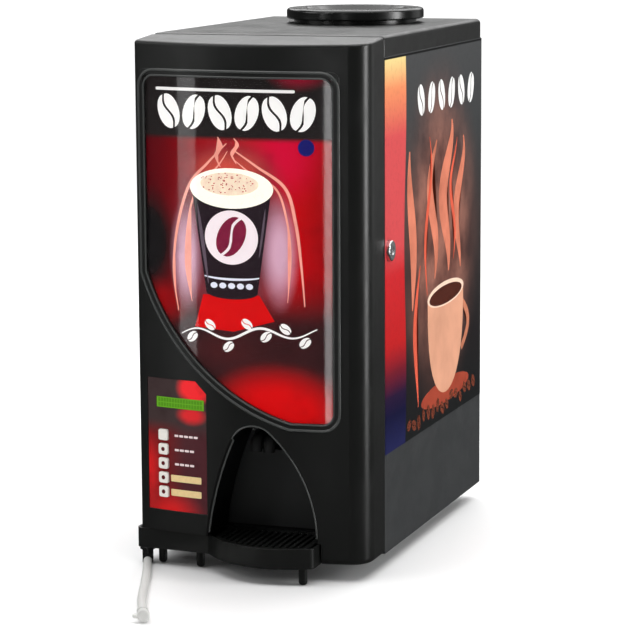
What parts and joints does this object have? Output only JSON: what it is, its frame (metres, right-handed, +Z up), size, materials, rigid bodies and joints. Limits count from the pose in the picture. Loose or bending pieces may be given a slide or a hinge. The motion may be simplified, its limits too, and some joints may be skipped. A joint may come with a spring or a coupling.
{
  "type": "hot coffee vending machine",
  "caption": "Counter-top hot drink machine: bowed door with lit curved-corner window, keypad with display, arched cup niche, drip tray, bottle seat on top, powder canisters and boiler inside.",
  "frame": {"origin": "on the counter, in the middle of the footprint of the machine and its drip tray, without the drain hose", "axes": "+X to the right as one faces the door, +Y to the back, +Z up"},
  "size_m": [0.294, 0.7008, 0.638],
  "materials": {
    "black_plastic": "satin moulded black plastic of the door, cover and tray, with a fine grain",
    "gloss_black": "smooth black plastic with soft gloss",
    "grey_paint": "dark grey powder coat on sheet steel",
    "galvanised": "plain galvanised sheet steel",
    "stainless": "brushed stainless steel",
    "zinc": "bright zinc plate",
    "rubber": "black rubber",
    "clear_acrylic": "clear glossy acrylic",
    "printed_film": null,
    "side_print": "printed sheet in dark red and grey with a coloured front band",
    "fascia_print": "printed overlay in black and dark red with cream bars",
    "display_green": "green liquid crystal display under a clear lens",
    "white_plastic": "white moulded plastic",
    "cream_button": "off-white moulded button with a soft sheen",
    "clear_container": "translucent canister plastic",
    "silicone": "milky translucent silicone",
    "pcb_green": "green circuit board laminate"
  },
  "bodies": {
    "cabinet": {"base_pan": "galvanised", "rubber_feet": "rubber", "front_frame": "grey_paint", "component_frame": "galvanised", "side_panel_left": "grey_paint", "side_panel_right": "grey_paint", "side_graphics": "side_print", "back_panel": "grey_paint", "cabinet_screws": "zinc", "top_cover": "black_plastic", "bottle_seat": "gloss_black", "water_tank": "clear_container", "boiler_tank": "stainless", "boiler_cap": "stainless", "boiler_band": "galvanised", "water_valves": "white_plastic", "water_tubes": "silicone", "mixing_bowls": "white_plastic", "mixer_motors": "zinc", "outlet_tubes": "rubber", "canisters": "clear_container", "auger_motors": "zinc", "fan_frame": "gloss_black", "power_inlet": "gloss_black", "power_supply": "galvanised", "relay_board": "pcb_green", "lock_barrel": "zinc", "hinge_pins": "stainless"},
    "door": {"door_shell": "black_plastic", "door_back_cover": "galvanised", "lock_strike": "stainless", "window_glazing": "clear_acrylic", "graphic_panel": "printed_film", "light_board": "white_plastic", "control_fascia": "fascia_print", "display_module": "display_green", "control_board": "pcb_green", "niche_liner": "gloss_black"},
    "tray": {"drip_tray": "black_plastic", "drain_elbow": "gloss_black", "drain_hose": "silicone", "hose_stopper": "silicone"},
    "grid": {"drip_grid": "gloss_black"},
    "lock": {"lock_plug": "zinc", "lock_cam": "stainless"},
    "rocker": {"power_rocker": "gloss_black"},
    "fan": {"fan_rotor": "gloss_black"},
    "button_1": {"button_1": "cream_button"},
    "button_2": {"button_2": "cream_button"},
    "button_3": {"button_3": "cream_button"},
    "button_4": {"button_4": "cream_button"},
    "button_5": {"button_5": "cream_button"},
    "lid_left": {"canister_lid_left": "black_plastic"},
    "auger_left": {"auger_left": "white_plastic"},
    "spout_left": {"spout_left": "black_plastic"},
    "impeller_left": {"impeller_left": "black_plastic"},
    "lid_right": {"canister_lid_right": "black_plastic"},
    "auger_right": {"auger_right": "white_plastic"},
    "spout_right": {"spout_right": "black_plastic"},
    "impeller_right": {"impeller_right": "black_plastic"}
  },
  "joints": [
    {"name": "door_hinge", "type": "hinge", "parent": "cabinet", "child": "door", "pos_m": [-0.135, -0.156, 0.33], "axis": [0, 0, -1], "range_deg": [0, 90]},
    {"name": "tray_slide", "type": "slide", "parent": "door", "child": "tray", "axis": [0, -1, 0], "range_m": [0, 0.12]},
    {"name": "grid_lift", "type": "slide", "parent": "tray", "child": "grid", "axis": [0, 0, 1], "range_m": [0, 0.012]},
    {"name": "lock_turn", "type": "hinge", "parent": "cabinet", "child": "lock", "pos_m": [0.142, -0.132, 0.374], "axis": [1, 0, 0], "range_deg": [0, 90]},
    {"name": "rocker_swing", "type": "hinge", "parent": "cabinet", "child": "rocker", "pos_m": [0.092, 0.248, 0.1], "axis": [-1, 0, 0], "range_deg": [0, 16]},
    {"name": "fan_spin", "type": "hinge", "parent": "cabinet", "child": "fan", "pos_m": [-0.084, 0.24, 0.44], "axis": [0, 1, 0], "continuous": true},
    {"name": "button_1_press", "type": "slide", "parent": "door", "child": "button_1", "axis": [0.2132, 0.977, 0], "range_m": [0, 0.0018], "stiffness_N_per_m": 400},
    {"name": "button_2_press", "type": "slide", "parent": "door", "child": "button_2", "axis": [0.2132, 0.977, 0], "range_m": [0, 0.0018], "stiffness_N_per_m": 400},
    {"name": "button_3_press", "type": "slide", "parent": "door", "child": "button_3", "axis": [0.2132, 0.977, 0], "range_m": [0, 0.0018], "stiffness_N_per_m": 400},
    {"name": "button_4_press", "type": "slide", "parent": "door", "child": "button_4", "axis": [0.2132, 0.977, 0], "range_m": [0, 0.0018], "stiffness_N_per_m": 400},
    {"name": "button_5_press", "type": "slide", "parent": "door", "child": "button_5", "axis": [0.2132, 0.977, 0], "range_m": [0, 0.0018], "stiffness_N_per_m": 400},
    {"name": "lid_left_lift", "type": "slide", "parent": "cabinet", "child": "lid_left", "axis": [0, 0, 1], "range_m": [0, 0.04]},
    {"name": "auger_left_spin", "type": "hinge", "parent": "cabinet", "child": "auger_left", "pos_m": [-0.068, 0, 0.344], "axis": [0, 1, 0], "continuous": true},
    {"name": "spout_left_swivel", "type": "hinge", "parent": "cabinet", "child": "spout_left", "pos_m": [-0.068, -0.103, 0.344], "axis": [0, 1, 0], "range_deg": [0, 90]},
    {"name": "impeller_left_spin", "type": "hinge", "parent": "cabinet", "child": "impeller_left", "pos_m": [-0.068, -0.088, 0.25], "axis": [0, 1, 0], "continuous": true},
    {"name": "lid_right_lift", "type": "slide", "parent": "cabinet", "child": "lid_right", "axis": [0, 0, 1], "range_m": [0, 0.04]},
    {"name": "auger_right_spin", "type": "hinge", "parent": "cabinet", "child": "auger_right", "pos_m": [0.068, 0, 0.344], "axis": [0, 1, 0], "continuous": true},
    {"name": "spout_right_swivel", "type": "hinge", "parent": "cabinet", "child": "spout_right", "pos_m": [0.068, -0.103, 0.344], "axis": [0, -1, 0], "range_deg": [0, 90]},
    {"name": "impeller_right_spin", "type": "hinge", "parent": "cabinet", "child": "impeller_right", "pos_m": [0.068, -0.088, 0.25], "axis": [0, 1, 0], "continuous": true}
  ]
}
